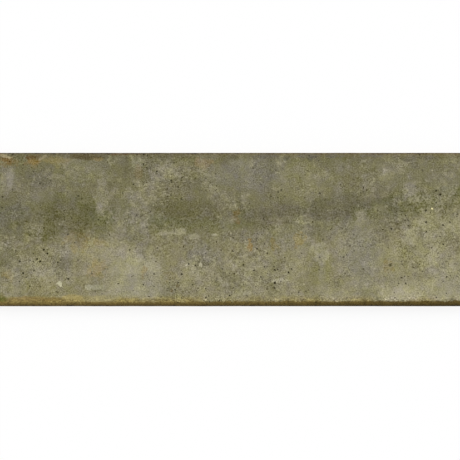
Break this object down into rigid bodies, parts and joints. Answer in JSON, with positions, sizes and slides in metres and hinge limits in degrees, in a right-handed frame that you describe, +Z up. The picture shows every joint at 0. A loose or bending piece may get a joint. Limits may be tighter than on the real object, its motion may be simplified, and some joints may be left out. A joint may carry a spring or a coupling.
{
  "type": "subway tile",
  "caption": "Rectangular glazed subway tile with a gently troughed, mottled olive-grey face, a rolled brown arris all round and a keyed biscuit back.",
  "frame": {"origin": "middle of the plane that the ribs of the back stand on", "axes": "+X along the tile's length, +Y across it towards the edge that is uppermost in the picture, +Z up out of the glazed face"},
  "size_m": [0.3016, 0.0984, 0.0091],
  "materials": {
    "glaze": "satin, mottled and pinholed glaze, brown where it thins on the arris"
  },
  "bodies": {
    "root": {"tile": "glaze"}
  },
  "joints": []
}
